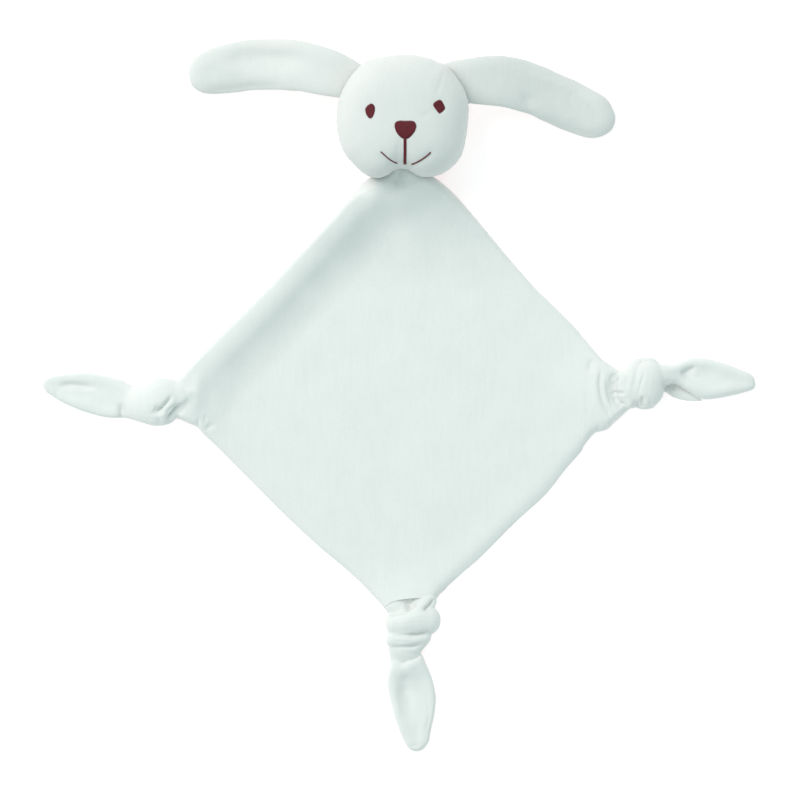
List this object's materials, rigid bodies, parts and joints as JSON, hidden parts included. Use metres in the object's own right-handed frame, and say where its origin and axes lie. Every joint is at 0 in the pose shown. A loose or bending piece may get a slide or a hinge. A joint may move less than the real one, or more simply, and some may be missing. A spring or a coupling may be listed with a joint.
{
  "type": "comfort blanket lovey",
  "caption": "Soft baby comforter: stuffed bunny head with long floppy ears on a double-layer velour blanket with knotted corners and leaf-shaped tails.",
  "frame": {"origin": "on the surface the toy lies on, under the middle of its outline", "axes": "+Z out of the face, away from the surface; +Y from the bottom knot towards the head; +X to the toy's right-hand knot as seen from above"},
  "size_m": [0.3488, 0.3499, 0.0526],
  "materials": {
    "velour": "short-pile white velour with a faint cool tint",
    "filling": "polyester fibre filling",
    "burgundy_thread": "satin embroidery thread",
    "white_thread": "sewing thread"
  },
  "bodies": {
    "blanket": {"blanket_front_panel": "velour", "blanket_back_panel": "velour"},
    "neck": {"neck_gather": "velour", "neck_stitching": "white_thread"},
    "head": {"head_face_panel": "velour", "head_back_left_panel": "velour", "head_back_right_panel": "velour", "head_stuffing": "filling", "eye_left": "burgundy_thread", "eye_right": "burgundy_thread", "nose": "burgundy_thread", "mouth_centre_stitch": "burgundy_thread", "mouth_left_stitch": "burgundy_thread", "mouth_right_stitch": "burgundy_thread"},
    "ear_left": {"ear_left_front_panel": "velour", "ear_left_back_panel": "velour", "ear_left_wadding": "filling"},
    "ear_right": {"ear_right_front_panel": "velour", "ear_right_back_panel": "velour", "ear_right_wadding": "filling"},
    "corner_left": {"knot_left": "velour"},
    "corner_right": {"knot_right": "velour"},
    "corner_bottom": {"knot_bottom": "velour"},
    "tail_left": {"tail_left": "velour"},
    "tail_right": {"tail_right": "velour"},
    "tail_bottom": {"tail_bottom": "velour"}
  },
  "joints": [
    {"name": "neck_nod", "type": "hinge", "parent": "blanket", "child": "neck", "pos_m": [0.0018, 0.102, 0.005], "axis": [1, 0, 0], "range_deg": [-40, 60]},
    {"name": "neck_turn", "type": "hinge", "parent": "neck", "child": "head", "pos_m": [0.0018, 0.102, 0.0125], "axis": [0, 1, 0], "range_deg": [-30, 30]},
    {"name": "ear_left_flop", "type": "hinge", "parent": "head", "child": "ear_left", "pos_m": [-0.028, 0.1567, 0.022], "axis": [0.5756, 0.8178, 0], "range_deg": [-50, 95]},
    {"name": "ear_right_flop", "type": "hinge", "parent": "head", "child": "ear_right", "pos_m": [0.03294, 0.15425, 0.022], "axis": [0.4854, -0.8743, 0], "range_deg": [-50, 95]},
    {"name": "knot_left_bend", "type": "hinge", "parent": "blanket", "child": "corner_left", "pos_m": [-0.1094, -0.0015, 0.0034], "axis": [0, 1, 0], "range_deg": [-60, 60]},
    {"name": "knot_right_bend", "type": "hinge", "parent": "blanket", "child": "corner_right", "pos_m": [0.1019, 0, 0.0034], "axis": [0, -1, 0], "range_deg": [-60, 60]},
    {"name": "knot_bottom_bend", "type": "hinge", "parent": "blanket", "child": "corner_bottom", "pos_m": [0.0029, -0.1063, 0.0034], "axis": [-1, 0, 0], "range_deg": [-60, 60]},
    {"name": "tail_left_bend", "type": "hinge", "parent": "corner_left", "child": "tail_left", "pos_m": [-0.1399, -0.002, 0.005], "axis": [0, 1, 0], "range_deg": [-75, 80]},
    {"name": "tail_right_bend", "type": "hinge", "parent": "corner_right", "child": "tail_right", "pos_m": [0.1384, 0.0045, 0.005], "axis": [0, -1, 0], "range_deg": [-75, 80]},
    {"name": "tail_bottom_bend", "type": "hinge", "parent": "corner_bottom", "child": "tail_bottom", "pos_m": [0.0059, -0.1368, 0.005], "axis": [-1, 0, 0], "range_deg": [-75, 80]}
  ]
}
